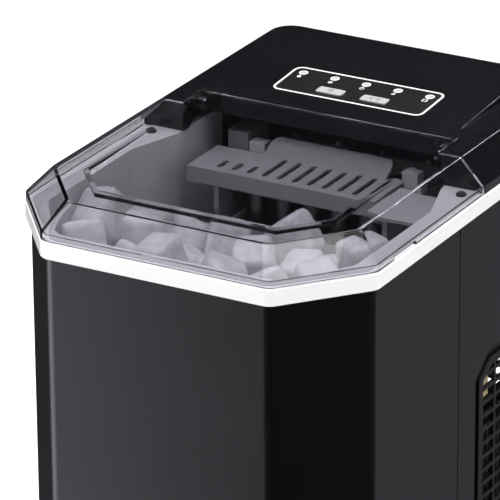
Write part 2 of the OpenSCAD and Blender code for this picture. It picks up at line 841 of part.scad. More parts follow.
module water_tray() {
    color([0.75, 0.77, 0.8])
    difference() {
        union() {
            block(-tray_x, tray_x, tray_front, tray_axis_y - 1, tray_axis_z - tray_deep - tray_wall, tray_axis_z - 6);
            for (s = [-1, 1]) hull() {
                translate([s > 0 ? tray_x - 4 : -tray_x, tray_axis_y, tray_axis_z])
                rotate([0, 90, 0])
                cylinder(h = 4, r = shaft_r + 3, $fn = 32);
                block(s > 0 ? tray_x - 4 : -tray_x, s > 0 ? tray_x : -tray_x + 4, tray_axis_y - 12, tray_axis_y - 1,
                      tray_axis_z - 16, tray_axis_z - 15);
            }
        }
        block(-tray_x + tray_wall, tray_x - tray_wall, tray_front + tray_wall, tray_axis_y - 1 - tray_wall,
              tray_axis_z - tray_deep, band_top);
        translate([-half_w, tray_axis_y, tray_axis_z]) rotate([0, 90, 0]) cylinder(h = body_w, r = shaft_r);
    }
}

shovel_z = band_top - 12;
shovel_front = arm_front - 18.5;
shovel_back = shovel_front + 48;
slot_pitch = 9.6;
lip_drop = 9;
flap_corner = 6;
module ice_shovel() {
    plate_t = 2;
    flap_x = shovel_x - 11;
    slot_w = 3.4;
    slot_len = 27;
    color([0.62, 0.62, 0.66])
    difference() {
        union() {
            block(-shovel_left, shovel_x, shovel_front + 1, shovel_front + 36, shovel_z - plate_t, shovel_z);
            // raised flap at the back
            intersection() {
                side_prism([[shovel_front + 35, shovel_z - plate_t], [shovel_back, shovel_z + 5.5],
                            [shovel_back - 0.6, shovel_z + 7.5], [shovel_front + 34, shovel_z]], -flap_x, flap_x);
                prism(box_outline(-flap_x, shovel_front, flap_x, shovel_back, flap_corner), 0, body_h);
            }
            // turned-down front edge and side rails
            side_prism([[shovel_front, shovel_z - lip_drop], [shovel_front + 2, shovel_z - lip_drop],
                        [shovel_front + 3, shovel_z], [shovel_front + 1, shovel_z]], -shovel_left, shovel_x);
            for (x = [-shovel_left, shovel_x - 2])
                block(x, x + 2, shovel_front + 1, shovel_front + 36, shovel_z - lip_drop, shovel_z);
        }
        for (i = [-5.5:1:4.5])
            translate([i * slot_pitch, 0, 0])
            prism(box_outline(-slot_w / 2, shovel_front + 7, slot_w / 2,
                              shovel_front + 7 + (i < -3 ? slot_len * 0.4 : slot_len), slot_w / 2 - 0.1),
                  shovel_z - 10, shovel_z + 1);
    }
}

module evaporator() {
    per_row = (finger_count + 1) / 2;
    pitch = 2 * (tray_x - tray_wall - finger_r - 4) / (per_row - 1);
    span = (per_row - 1) / 2 * pitch;
    out_x = frame_x - 3;
    color([0.75, 0.72, 0.66]) {
        for (i = [0:per_row - 1]) finger(-span + i * pitch, row_y);
        for (i = [0:per_row - 2]) finger(-span + (i + 0.5) * pitch, row_y + row_gap);
        pipe([[-out_x, row_y + row_gap, finger_z], [out_x - 3, row_y + row_gap, finger_z],
              [out_x - 3, row_y, finger_z], [-out_x, row_y, finger_z]], 4);
        block(-frame_x + 0.1, frame_x - 0.1, row_y - 6, row_y + row_gap + 6, finger_z + 3, finger_z + 4.5);
    }
}

module finger(x, y) {
    translate([x, y, tray_axis_z - tray_deep + 8])
    rotate_extrude()
    polygon([[0, 0], [finger_r - 2, 0.6], [finger_r - 0.5, 2.5], [finger_r, 5],
             [finger_r, finger_z - tray_axis_z + tray_deep - 8], [0, finger_z - tray_axis_z + tray_deep - 8]]);
}

module ice_sensors() {
    color([0.8, 0.8, 0.84])
    for (s = [-1, 1])
        block(s > 0 ? frame_x - 7 : -frame_x - frame_t, s > 0 ? frame_x + frame_t : -frame_x + 7,
              tray_axis_y - 8, tray_axis_y, frame_top + 0.2, band_top - 10);
}

/* ---- water circuit ---- */
pump_x = 58;
pump_y = tub_back - 26;
module water_pump() {
    color("ivory")
    difference() {
        union() {
            translate([pump_x, pump_y, tub_floor + 0.2]) cylinder(h = 14, r = 16);
            translate([pump_x, pump_y, tub_floor + 14]) cylinder(h = 22, r = 12);
            translate([pump_x, pump_y + 12, tub_floor + 8]) rotate([-90, 0, 0]) cylinder(h = 12, r = 4);
        }
        translate([pump_x, pump_y + 10, tub_floor + 8]) rotate([-90, 0, 0]) cylinder(h = 20, r = 2.5);
        translate([pump_x, pump_y, tub_floor - 1]) cylinder(h = 8, r = 8);
    }
}

module pump_hose() {
    x = frame_x + frame_t + 10;
    y = tub_back + 10;
    z = frame_top - 6;
    color([0.85, 0.85, 0.85])
    difference() {
        pipe([[pump_x, pump_y + 24.2, tub_floor + 8], [pump_x, y - 4, tub_floor + 8], [x, y, tub_floor + 24],
              [x, y, z], [frame_x + frame_t + 0.2, y, z]], 3.6);
        rod([pump_x, pump_y + 20, tub_floor + 8], [pump_x, y - 4, tub_floor + 8], 2.4);
    }
}

module drain_spout() {
    color([0.8, 0.8, 0.8])
    difference() {
        union() {
            translate([drain_x, drain_y, foot_h - 2]) cylinder(h = tub_floor - tub_wall - foot_h + 2, r = drain_r - 2);
            translate([drain_x, drain_y, tub_floor - tub_wall - 3]) cylinder(h = 2.8, r = drain_r);
            translate([drain_x, drain_y, pan_z + pan_t]) cylinder(h = 4, r = drain_r + 4);
        }
        translate([drain_x, drain_y, 0]) cylinder(h = body_h, r = drain_r - 4);
    }
}

module drain_cap() {
    color([0.2, 0.2, 0.22])
    difference() {
        union() {
            translate([drain_x, drain_y, 1.5]) cylinder(h = foot_h - 2, r = drain_r + 1.5);
            for (a = [0:30:330])
                translate([drain_x, drain_y, 1.5]) rotate(a) translate([drain_r + 1, -1, 0]) cube([1.6, 2, foot_h - 2]);
        }
        translate([drain_x, drain_y, 3.5]) cylinder(h = foot_h, r = drain_r - 2 + 0.05);
    }
}

/* ---- cooling circuit ---- */
comp_x = -half_w + 62;
comp_y = half_d - 62;
comp_z = pan_z + pan_t + 9;
lug_reach = 0.5;
lug_w = 8;
module compressor() {
    r = compressor_r;
    h = compressor_h;
    color([0.1, 0.1, 0.1]) {
        translate([comp_x, comp_y, comp_z])
        rotate_extrude()
        polygon(concat([[0, 0], [r * 0.6, 0]],
                       [for (a = [-80:16:0]) [r - 12 + 12 * cos(a), 12 + 12 * sin(a)]],
                       [for (a = [0:15:90]) [r * cos(a) * 1, h - 30 + 30 * sin(a)]]));
        translate([comp_x, comp_y, comp_z + h * 0.45]) cylinder(h = 3, r = r + 2.5);
        for (a = [30, 150, 270])
            translate([comp_x, comp_y, comp_z]) rotate(a) difference() {
                translate([0, -lug_w, -2]) cube([r + lug_reach + 5, 2 * lug_w, 2.5]);
                translate([r + lug_reach, 0, -5]) cylinder(h = 10, r = 4.2);
            }
        pipe([[comp_x + r - 4, comp_y - 6, comp_z + 40], [comp_x + r + 8, comp_y - 6, comp_z + 40],
              [comp_x + r + 8, comp_y - 6, comp_z + 52]], tube_r + 0.6);
        translate([comp_x - 10, comp_y - r - 4, comp_z + 24]) cube([20, 14, 26]);
    }
}

module compressor_mounts() {
    color("black")
    for (a = [30, 150, 270])
        translate([comp_x, comp_y, pan_z + pan_t])
        rotate(a)
        translate([compressor_r + lug_reach, 0, 0])
        rotate_extrude()
        polygon([[0, 0], [6.6, 0], [6.6, 6.8], [4, 6.9], [4, 9.6], [5, 9.8], [4.4, 11.4], [0, 11.4]]);
}

cond_x = half_w - band_proud - grille_depth - 21;
cond_y0 = grille_front + 22;
cond_y1 = grille_back + 2;
cond_z0 = pan_z + 20;
cond_h = 116;
module condenser() {
    fin_t = 0.8;
    rows = 4;
    color("silver") {
        for (i = [0:fin_count - 1]) {
            y = cond_y0 + (cond_y1 - cond_y0 - fin_t) * i / (fin_count - 1);
            block(cond_x, cond_x + 17, y, y + fin_t, cond_z0, cond_z0 + cond_h);
        }
        for (k = [0:rows - 1]) {
            z = cond_z0 + cond_h * (k + 0.5) / rows;
            rod([cond_x + 8.5, cond_y0 - 5, z], [cond_x + 8.5, cond_y1 + 5, z], 3.2);
        }
        for (k = [0:rows - 2]) {
            z = cond_z0 + cond_h * (k + 0.5) / rows;
            y = k % 2 == 0 ? cond_y1 + 5 : cond_y0 - 5;
            rod([cond_x + 8.5, y, z], [cond_x + 8.5, y, z + cond_h / rows], 3.2);
            for (e = [0, 1]) translate([cond_x + 8.5, y, z + e * cond_h / rows]) sphere(r = 3.2, $fn = 24);
        }
    }
}

fan_y = (cond_y0 + cond_y1) / 2;
fan_z = cond_z0 + cond_h / 2;
shroud_x = cond_x - 1;
shroud_t = 16;
module fan_shroud() {
    color([0.2, 0.2, 0.2])
    difference() {
        union() {
            block(shroud_x - 2, shroud_x, cond_y0 - 2, cond_y1 + 2, pan_z + pan_t + 0.2, cond_z0 + cond_h + 4);
            translate([shroud_x - shroud_t, fan_y, fan_z]) rotate([0, 90, 0]) cylinder(h = shroud_t, r = fan_r + fan_gap + 2);
            for (a = [45:90:315])
                translate([0, fan_y, fan_z]) rotate([a, 0, 0])
                block(shroud_x - shroud_t - 4, shroud_x - shroud_t, -3, 3, 12, fan_r + fan_gap + 1);
            translate([shroud_x - shroud_t - 4, fan_y, fan_z]) rotate([0, 90, 0]) cylinder(h = 4, r = 15);
        }
        translate([shroud_x - shroud_t - eps, fan_y, fan_z]) rotate([0, 90, 0])
            cylinder(h = shroud_t + 1, r = fan_r + fan_gap);
        translate([shroud_x - shroud_t - 5, fan_y, fan_z]) rotate([0, 90, 0]) cylinder(h = 6, r = 10);
    }
}

motor_len = 30;
module fan_motor() {
    x = shroud_x - shroud_t - 4;
    color([0.6, 0.6, 0.62]) {
        translate([x - motor_len, fan_y, fan_z]) rotate([0, 90, 0]) cylinder(h = motor_len, r = 17);
        translate([x - eps, fan_y, fan_z]) rotate([0, 90, 0]) cylinder(h = 5, r = 6);
        translate([x, fan_y, fan_z]) rotate([0, 90, 0]) cylinder(h = 17, r = motor_shaft_r);
    }
}

blade_pitch = 28;
blade_t = 1.6;
hub_r = 12;
hub_len = 12;
module fan_blade() {
    hub_x = shroud_x - shroud_t + 2;
    chord = 11.5;
    leaf = [[-chord * 0.6, hub_r - 3], [chord * 0.6, hub_r - 3], [chord, fan_r * 0.6], [chord * 0.8, fan_r - 4],
            [0, fan_r - 1], [-chord, fan_r - 4], [-chord * 1.1, fan_r * 0.6]];
    color([0.15, 0.15, 0.16])
    difference() {
        union() {
            translate([hub_x, fan_y, fan_z]) rotate([0, 90, 0]) cylinder(h = hub_len, r = hub_r);
            for (i = [0:blade_count - 1])
                translate([hub_x + hub_len / 2, fan_y, fan_z])
                rotate([i * 360 / blade_count, 0, 0])
                rotate([0, 0, blade_pitch])
                side_prism(leaf, -blade_t / 2, blade_t / 2);
        }
        translate([hub_x - 1, fan_y, fan_z]) rotate([0, 90, 0]) cylinder(h = hub_len, r = motor_shaft_r + 0.05);
        translate([hub_x - 1, fan_y, fan_z]) rotate([0, 90, 0]) cylinder(h = 3, r = 7.5);
    }
}

valve_x = 20;
valve_y = half_d - 22;
module gas_valve() {
    color("goldenrod") {
        translate([valve_x, valve_y, 150]) cylinder(h = 26, r = 7);
        translate([valve_x - 12, valve_y - 12, 176]) cube([24, 24, 26]);
    }
}

module filter_drier() {
    color("peru")
    translate([-10, valve_y, 120])
    rotate_extrude()
    polygon([[0, 0], [3.5, 0], [8, 8], [8, 52], [3.5, 60], [0, 60]]);
}

module refrigerant_lines() {
    r = tube_r;
    back_y = valve_y;
    evap_x = 0;
    port = [comp_x + compressor_r + 8, comp_y - 6, comp_z + 52 + 0.2];
    color("peru") {
        // compressor to the gas valve
        pipe([port, [port[0], port[1], 140], [valve_x, back_y, 144], [valve_x, back_y, 149.8]], r);
        // gas valve to the evaporator
        pipe([[valve_x, back_y, 202.2], [valve_x, back_y, 262], [evap_x, back_y - 16, band_top - 7],
              [evap_x, tub_back + 14, band_top - 7], [evap_x, tray_axis_y + 9, finger_z - 0.4],
              [evap_x, row_y + row_gap + 4.1, finger_z - 0.4]], r);
        // drier to the condenser
        pipe([[-10, back_y, 119.8], [-10, back_y, 100], [10, half_d - 16, 40], [cond_x + 8, half_d - 16, cond_z0 - 6],
              [cond_x + 8, cond_y1 + 8.4, cond_z0 - 6]], r);
    }
}

module power_board() {
    y = half_d - band_proud - casing_wall - 10;
    color("seagreen") {
        translate([-88, y - 12, 205]) cube([64, 1.6, 60]);
        translate([-84, y - 10.4, 212]) cube([22, 9, 24]);
        translate([-54, y - 10.4, 238]) cube([18, 8, 16]);
        translate([-84, y - 10.4, 244]) cube([22, 7, 12]);
    }
}

module wiring() {
    y = half_d - band_proud - casing_wall - 8;
    color([0.3, 0.3, 0.3]) {
        pipe([[-44, y - 12, 265.2], [-44, y - 12, band_top - 4], [-39, panel_front + 50, band_top + 8],
              [-39, panel_front + 18.3, band_top + 7.2]], 1.6);
        pipe([[gland_x, y - 6, gland_z], [gland_x - 14, y - 8, 60], [-94, y - 8, 150], [-86, y - 8, 200]], 1.8);
    }
}

module lead_gland() {
    y = half_d - band_proud;
    color([0.08, 0.08, 0.08])
    difference() {
        union() {
            translate([gland_x, y - casing_wall - 5, gland_z]) rotate([-90, 0, 0]) cylinder(h = casing_wall + 5, r = gland_r - 0.2);
            translate([gland_x, y, gland_z]) rotate([-90, 0, 0]) cylinder(h = 1.5, r = gland_r + 2);
            translate([gland_x, y - casing_wall - 3, gland_z]) rotate([-90, 0, 0]) cylinder(h = 2.8, r = gland_r + 1.5);
        }
        translate([gland_x, y - 12, gland_z]) rotate([-90, 0, 0]) cylinder(h = 20, r = lead_hole_r);
    }
}

/* ---- fasteners ---- */
module cross_screw(r, len, head_r, head_h) {
    difference() {
        union() {
            translate([0, 0, -len]) cylinder(h = len, r = r);
            cylinder(h = head_h, r = head_r);
        }
        for (a = [0, 90]) rotate(a) translate([-head_r * 0.6, -0.4, head_h - 0.8]) cube([head_r * 1.2, 0.8, 1]);
    }
}

module casing_screws() {
    y = half_d - band_proud;
    color("dimgray")
    for (x = [-1, 1]) for (z = casing_screw_z)
        translate([x * casing_screw_x, y + 0.02, z]) rotate([-90, 0, 0]) cross_screw(casing_screw_r, 8, 3, 1.4);
}

module base_screws() {
    color("dimgray")
    for (p = base_screw_xy)
        translate([p[0], p[1], pan_z - 0.02]) mirror([0, 0, 1]) cross_screw(base_screw_r, 6, 3, 1.4);
}

base_pan();
rubber_feet();
front_casing();
rear_casing();
trim_band();
right_grille();
left_grille();
back_grille();
top_housing();
panel_label();
indicator_lamps();
power_button();
select_button();
control_board();
lid();
hinge_pins();
lid_bumpers();
tub();
tub_foam();
chamber_back();
ice_basket();
mechanism_frame();
tray_motor();
tray_shaft();
water_tray();
ice_shovel();
evaporator();
ice_sensors();
water_pump();
pump_hose();
drain_spout();
drain_cap();
compressor();
compressor_mounts();
condenser();
fan_shroud();
fan_motor();
fan_blade();
gas_valve();
filter_drier();
refrigerant_lines();
power_board();
wiring();
lead_gland();
casing_screws();
base_screws();
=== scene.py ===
# %% [markdown]
# # A countertop ice maker
# The machine's solid parts are already drawn, in metres, and are loaded here as a fixed frame.
# This notebook dresses them: it rounds the moulded edges that catch the light, prints the control
# panel, fills the basket with ice, and gives every part a finish made from shader nodes.
# Places are read from the loaded parts, so nothing has to be fitted by eye.

# %% Load the frame
import math
import random

import bmesh
import bpy
from mathutils import Euler, Matrix, Vector


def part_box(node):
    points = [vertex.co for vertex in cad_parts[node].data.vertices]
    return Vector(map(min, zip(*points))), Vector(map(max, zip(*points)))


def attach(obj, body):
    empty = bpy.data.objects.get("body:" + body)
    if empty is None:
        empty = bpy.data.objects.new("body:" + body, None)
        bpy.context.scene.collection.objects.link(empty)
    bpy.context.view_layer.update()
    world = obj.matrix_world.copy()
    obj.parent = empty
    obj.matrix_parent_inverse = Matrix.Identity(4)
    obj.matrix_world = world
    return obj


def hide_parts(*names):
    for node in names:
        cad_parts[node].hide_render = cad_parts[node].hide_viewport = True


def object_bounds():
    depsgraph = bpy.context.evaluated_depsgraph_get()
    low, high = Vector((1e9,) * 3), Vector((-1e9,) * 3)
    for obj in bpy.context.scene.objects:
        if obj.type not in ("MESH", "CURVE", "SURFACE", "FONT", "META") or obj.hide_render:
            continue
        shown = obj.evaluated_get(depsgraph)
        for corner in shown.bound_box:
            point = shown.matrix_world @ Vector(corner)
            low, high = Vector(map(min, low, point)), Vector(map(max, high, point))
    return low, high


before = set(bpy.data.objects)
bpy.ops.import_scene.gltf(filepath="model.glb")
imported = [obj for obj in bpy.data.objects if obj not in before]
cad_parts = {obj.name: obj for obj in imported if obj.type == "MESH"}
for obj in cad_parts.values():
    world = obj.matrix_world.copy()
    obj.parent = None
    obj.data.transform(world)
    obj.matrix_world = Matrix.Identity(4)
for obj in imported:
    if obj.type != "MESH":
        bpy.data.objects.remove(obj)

MM = 0.001
cad_low, cad_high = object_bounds()
print("overall size", [round(v, 4) for v in cad_high - cad_low])

# %% [markdown]
# ## Camera
# A long lens from well back keeps the machine's sides almost parallel, as a catalogue picture does.
# The camera stands 28 degrees round to the right and looks down by 24 degrees. The view is shifted
# sideways in the camera, as with a view camera, so the uprights stay upright.

# %% Camera
TURN, LOOK_DOWN = math.radians(28.45), math.radians(23.76)
camera_data = bpy.data.cameras.new("studio_camera")
camera_data.sensor_width = 36
camera_data.lens = 340.17
camera_data.shift_x, camera_data.shift_y = -0.16, 0.17
camera_data.clip_end = 50
camera = bpy.data.objects.new("studio_camera", camera_data)
camera.location = (1.1824, -2.1432, 1.2763)
camera.rotation_euler = (math.pi / 2 - LOOK_DOWN, 0, TURN)
bpy.context.scene.collection.objects.link(camera)
bpy.context.scene.camera = camera
bpy.context.scene.view_settings.view_transform = "Standard"
print("camera", tuple(round(v, 3) for v in camera.location))

# %% [markdown]
# ## Shader sums
# A finish is a small network of nodes. Writing one by hand takes a line for every node and link, so
# two helpers do that work. `Reading` wraps a number that changes over the surface, and a sum on it
# adds the Math node. `Finish` owns the material, or the world, and makes every other kind of node.

# %% Helpers that wire up a finish
class Reading:
    """A socket whose value changes over the surface. A sum on it adds a Math node."""

    def __init__(self, finish, socket):
        self.finish, self.socket = finish, socket

    def sum(self, operation, first, second):
        return self.finish.node("Math", {"operation": operation}, {0: first, 1: second})

    def __add__(self, other):
        return self.sum("ADD", self, other)

    def __mul__(self, other):
        return self.sum("MULTIPLY", self, other)

    __radd__, __rmul__ = __add__, __mul__


class Finish:
    """A material or a world, and the one way that its nodes are made."""

    def __init__(self, name, kinds=bpy.data.materials):
        self.owner = kinds.new(name)
        self.owner.use_nodes = True
        self.tree = self.owner.node_tree
        self.tree.nodes.clear()
        self.place = self.node("TexCoord", out="Object")

    def node(self, kind, settings=None, sockets=None, out=0):
        made = self.tree.nodes.new("ShaderNode" + kind)
        for key, value in (settings or {}).items():
            if key == "stops":
                for stop, (at, shade) in zip(made.color_ramp.elements, value):
                    stop.position, stop.color = at, shade
            else:
                setattr(made, key, value)
        for key, value in (sockets or {}).items():
            if isinstance(value, Reading):
                self.tree.links.new(value.socket, made.inputs[key])
            else:
                made.inputs[key].default_value = value
        return Reading(self, made.outputs[out])

    def noise(self, size, detail=2.0, stretch=(1, 1, 1)):
        """Cloudy noise with features about `size` metres across, drawn out by `stretch`."""
        place = self.node("Mapping", {"vector_type": "TEXTURE"},
                          {"Vector": self.place, "Scale": stretch})
        return self.node("TexNoise", None, {"Vector": place, "Scale": 1 / size, "Detail": detail})

    def blend(self, share, first, second):
        """One colour into another by a share."""
        return self.node("Mix", {"data_type": "RGBA"}, {0: share, 6: first, 7: second}, out=2)

    def bump(self, height, depth, strength=1.0):
        return self.node("Bump", None, {"Height": height, "Distance": depth, "Strength": strength})

    def surface(self, **sockets):
        """The main shader. Names are the sockets' own, with _ for a space."""
        named = {key.replace("_", " "): value for key, value in sockets.items()}
        return self.node("BsdfPrincipled", None, named)

    def done(self, shader, inside=None, kind="OutputMaterial"):
        last = self.tree.nodes.new("ShaderNode" + kind)
        self.tree.links.new(shader.socket, last.inputs["Surface"])
        if inside:
            self.tree.links.new(inside.socket, last.inputs["Volume"])
        return self.owner


def grey(level, warm=0.0, violet=0.0):
    """A near-grey colour: warm lifts red, violet lifts red and blue."""
    return (level * (1 + warm + violet / 2), level, level * (1 - warm + violet), 1)


finishes = {}
print("helpers ready")

# %% [markdown]
# ## Moulded plastics
# Most of the machine is injection-moulded ABS. The mould leaves a fine grain that makes the black
# casing satin, while the top and the trim are polished. Grain is a bump far too small to see as
# bumps, which spreads the highlight; slow noise in colour and roughness stands for handling and for
# how the plastic flowed. Noise averages a half, so half of what it adds to a roughness is taken off.

# %% Moulded plastics
def moulded(name, colour, roughness, grain=0.25 * MM, depth=0.004 * MM, cloud=0.15, **more):
    made = Finish(name)
    slow = made.noise(45 * MM, 3.0)
    fine = made.noise(grain, 1.0)
    darker = tuple(c * (1 - cloud) for c in colour[:3]) + (1,)
    shader = made.surface(
        Base_Color=made.blend(slow, darker, colour),
        Roughness=slow * 0.08 + fine * 0.05 + (roughness - 0.065),
        Normal=made.bump(fine, depth),
        **more,
    )
    finishes[name] = made.done(shader)


moulded("black_satin", grey(0.0022, violet=0.2), 0.36, grain=0.35 * MM, depth=0.006 * MM)
moulded("black_gloss", grey(0.004, violet=0.3), 0.22)
moulded("black_matte", grey(0.004), 0.45, grain=0.3 * MM)
moulded("white_gloss", grey(0.86), 0.16, cloud=0.02, depth=0.002 * MM)
moulded("button_white", grey(0.42), 0.35, cloud=0.04)
moulded("label_film", grey(0.006, violet=0.1), 0.3, grain=0.15 * MM)
moulded("print_white", grey(0.85), 0.4, cloud=0.03)
moulded("print_grey", grey(0.16), 0.45)
moulded("tub_grey", grey(0.51, violet=0.03), 0.36, cloud=0.05)
# chamber_black is near black as painted shade: it stands for the shadow under the housing on the
# chamber's rear wall.
moulded("chamber_black", grey(0.026, violet=0.5), 0.4)
moulded("motor_plastic", grey(0.3), 0.4, cloud=0.05)
moulded("tray_grey", grey(0.28, violet=0.06), 0.35, cloud=0.06)
moulded("shovel_grey", grey(0.2, violet=0.08), 0.42, cloud=0.06)
moulded("sensor_grey", grey(0.5, violet=0.05), 0.35, cloud=0.05)
moulded("lamp_white", grey(0.55), 0.2, cloud=0.3, grain=0.8 * MM)
print(len(finishes), "moulded finishes")

# %% [markdown]
# ## Metals
# Sheet and tube show the direction they were worked in. Noise drawn out along one axis gives the
# rolled or drawn streaks, in the roughness and a little in the colour.

# %% Metals
def metal(name, colour, roughness, stretch=(1, 1, 12), streak=0.6 * MM, metallic=1.0, dull=0.25):
    made = Finish(name)
    streaks = made.noise(streak, 3.0, stretch)
    stains = made.noise(18 * MM, 4.0)
    dark = tuple(c * (1 - dull) for c in colour) + (1,)
    shader = made.surface(
        Base_Color=made.blend(stains * 0.7 + streaks * 0.3, dark, tuple(colour) + (1,)),
        Roughness=streaks * 0.16 + stains * 0.08 + (roughness - 0.12),
        Metallic=metallic,
        Normal=made.bump(streaks, 0.006 * MM),
    )
    finishes[name] = made.done(shader)


metal("zinc_steel", (0.60, 0.61, 0.62), 0.38, stretch=(12, 1, 1))
metal("steel", (0.56, 0.56, 0.58), 0.3, stretch=(12, 1, 1))
metal("steel_dark", (0.06, 0.06, 0.065), 0.42)
metal("nickel", (0.30, 0.29, 0.28), 0.3)
# The fins are near black, partly a black coating and partly painted shade for the dark interior
# behind the grille.
metal("fin_aluminium", (0.05, 0.05, 0.052), 0.4, metallic=0.0)
metal("brass", (0.72, 0.53, 0.22), 0.3)
metal("copper", (0.70, 0.36, 0.21), 0.3, dull=0.45)
metal("compressor_black", (0.014, 0.014, 0.015), 0.33, metallic=0.0, dull=0.1)
print(len(finishes), "finishes so far")

# %% [markdown]
# ## Rubber, foam, circuit board
# Feet, cable sleeves and hose are soft and dull. The tub's insulation is foam with open cells, so a
# Voronoi pattern gives it its pores. The circuit board carries copper tracks under green lacquer,
# which a brick pattern suggests.

# %% Rubber, foam, circuit board
def soft_rubber(name, colour, roughness=0.75, **more):
    made = Finish(name)
    dust = made.noise(3 * MM, 5.0)
    pits = made.noise(0.3 * MM, 1.0)
    pale = tuple(min(1, c * 1.6 + 0.01) for c in colour[:3]) + (1,)
    shader = made.surface(
        Base_Color=made.blend(dust * 0.5, colour, pale),
        Roughness=dust * 0.1 + (roughness - 0.05),
        Normal=made.bump(pits, 0.02 * MM),
        **more,
    )
    finishes[name] = made.done(shader)


soft_rubber("rubber_black", grey(0.02))
soft_rubber("cable_black", grey(0.018), 0.6)
soft_rubber("silicone_hose", grey(0.62), 0.4, Subsurface_Weight=0.3)

foam = Finish("foam")
cells = foam.node("TexVoronoi", None, {"Vector": foam.place, "Scale": 1 / (1.2 * MM)}, out="Distance")
finishes["foam"] = foam.done(foam.surface(
    Base_Color=foam.blend(cells, (0.80, 0.68, 0.42, 1), (0.48, 0.38, 0.2, 1)),
    Roughness=0.9, Normal=foam.bump(cells, -0.3 * MM)))

board = Finish("circuit_green")
tracks = board.node("TexBrick", {"offset": 0.37}, {
    "Vector": board.place, "Color1": (0.01, 0.10, 0.04, 1), "Color2": (0.012, 0.14, 0.055, 1),
    "Mortar": (0.03, 0.24, 0.1, 1), "Scale": 1 / (5 * MM), "Mortar Size": 0.05}, out="Color")
finishes["circuit_green"] = board.done(board.surface(
    Base_Color=tracks, Roughness=board.noise(6 * MM) * 0.1 + 0.25))
print(len(finishes), "finishes so far")

# %% [markdown]
# ## Clear plastics and ice
# The lid is one clear moulding with a faint violet smoke. Light bends in it, which is what draws the
# dark and bright lines along its edges, so it is a real glass shader on a solid body. Lamp rays are
# let straight through, or the tub below would need thousands of samples to be lit. The basket is the
# same plastic, milky. Ice is clear at its skin and cloudy inside, where trapped air turns it white.

# %% Clear plastics and ice
SMOKE_DENSITY = 100.0


def clear(name, tint, roughness, ior, lamp_tint, milk=0.0, milk_size=8 * MM, smoke=None):
    made = Finish(name)
    haze = made.noise(milk_size, 4.0)
    glass = made.surface(Base_Color=tint, Roughness=haze * (0.04 * milk) + roughness,
                         IOR=ior, Transmission_Weight=1.0)
    if milk:
        cloud = made.blend(haze, grey(0.42, violet=0.05), grey(0.58, violet=0.04))
        body = made.surface(Base_Color=cloud, Roughness=haze * 0.1 + 0.2)
        glass = made.node("MixShader", None, {0: haze * milk + milk * 0.5, 1: glass, 2: body})
    through = made.node("BsdfTransparent", None, {"Color": lamp_tint})
    lamps = made.node("LightPath", out="Is Shadow Ray")
    inside = None
    if smoke:
        inside = made.node("VolumeAbsorption", None, {"Color": smoke, "Density": SMOKE_DENSITY})
    finishes[name] = made.done(made.node("MixShader", None, {0: lamps, 1: glass, 2: through}), inside)


clear("clear_smoke", (0.81, 0.805, 0.83, 1), 0.0, 1.4, (0.92, 0.915, 0.93, 1),
      smoke=(0.05, 0.03, 0.09, 1))
clear("basket_clear", (0.93, 0.94, 0.97, 1), 0.05, 1.4, (0.75, 0.76, 0.8, 1), milk=0.4)
clear("ice", (0.90, 0.91, 0.95, 1), 0.06, 1.31, (0.7, 0.71, 0.75, 1), milk=0.7, milk_size=9 * MM)
print(sorted(finishes))

# %% [markdown]
# ## Give the loaded parts their finishes
# Every loaded part names its material slot, so one table of finishes dresses them all.

# %% Dress the loaded parts
slot_of = {}
for name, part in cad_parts.items():
    for held in part.material_slots:
        slot_of[name] = held.material.name.split(".")[0]
        held.material = finishes[slot_of[name]]
print(len(slot_of), "parts dressed, slots", sorted(set(slot_of.values())))

# %% [markdown]
# ## Eased edges
# No moulded edge is knife sharp: the mould is cut with a small radius, and that radius is where a
# dark object shows its outline as a thin bright line. The drawn parts have sharp edges, so the most
# visible ones get a copy whose edges are bevelled, and the copy stands in for the part. Only edges
# that turn by more than a set angle are taken, so the arcs of the corners are left alone.

# %% Copies with eased edges
def settle(piece, body, slot=None, *nodes):
    """Put a piece on its body and let it stand for loaded parts. The slot is not used."""
    if piece.name not in bpy.context.scene.collection.objects:
        bpy.context.scene.collection.objects.link(piece)
    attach(piece, body)
    if nodes:
        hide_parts(*nodes)
    return piece


def smooth_by_angle(mesh, angle):
    for face in mesh.polygons:
        face.use_smooth = True
    mesh.set_sharp_from_angle(angle=math.radians(angle))


def pour(shape, whole):
    """Add one shape's faces to another, and let go of the first."""
    holder = bpy.data.meshes.new("holder")
    shape.to_mesh(holder)
    shape.free()
    whole.from_mesh(holder)
    bpy.data.meshes.remove(holder)


def new_piece(name, shape, finish, body, slot, smooth=None):
    """A finished piece from a shape, in a finish and on its body."""
    mesh = bpy.data.meshes.new(name)
    shape.to_mesh(mesh)
    shape.free()
    if smooth:
        smooth_by_angle(mesh, smooth)
    mesh.materials.append(finishes[finish])
    print(name, len(mesh.polygons), "faces")
    return settle(bpy.data.objects.new(name, mesh), body, slot)


SEAM = 1e-6
FLAT = math.radians(0.3)


def eased(node, name, body, ease, steps=2, turn=35):
    """A copy of a loaded part with a small round on its sharp edges."""
    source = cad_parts[node]
    mesh = bpy.data.meshes.new(name)
    shell = bmesh.new()
    shell.from_mesh(source.data)
    bmesh.ops.remove_doubles(shell, verts=shell.verts, dist=SEAM)
    bmesh.ops.dissolve_limit(shell, angle_limit=FLAT, verts=shell.verts, edges=shell.edges)
    sharp = [e for e in shell.edges
             if len(e.link_faces) == 2 and e.calc_face_angle() > math.radians(turn)]
    bmesh.ops.bevel(shell, geom=sharp, offset=ease, offset_type="WIDTH", segments=steps,
                    profile=0.5, affect="EDGES", material=-1, clamp_overlap=False)
    shell.to_mesh(mesh)
    shell.free()
    if "custom_normal" in mesh.attributes:
        mesh.attributes.remove(mesh.attributes["custom_normal"])
    smooth_by_angle(mesh, 30)
    piece = bpy.data.objects.new(name, mesh)
    mesh.materials.append(finishes[slot_of[node]])
    normals = piece.modifiers.new("flat faces stay flat", "WEIGHTED_NORMAL")
    normals.keep_sharp = True
    settle(piece, body, slot_of[node], node)
    print(name, len(sharp), "edges eased,", len(mesh.polygons), "faces")
    return piece


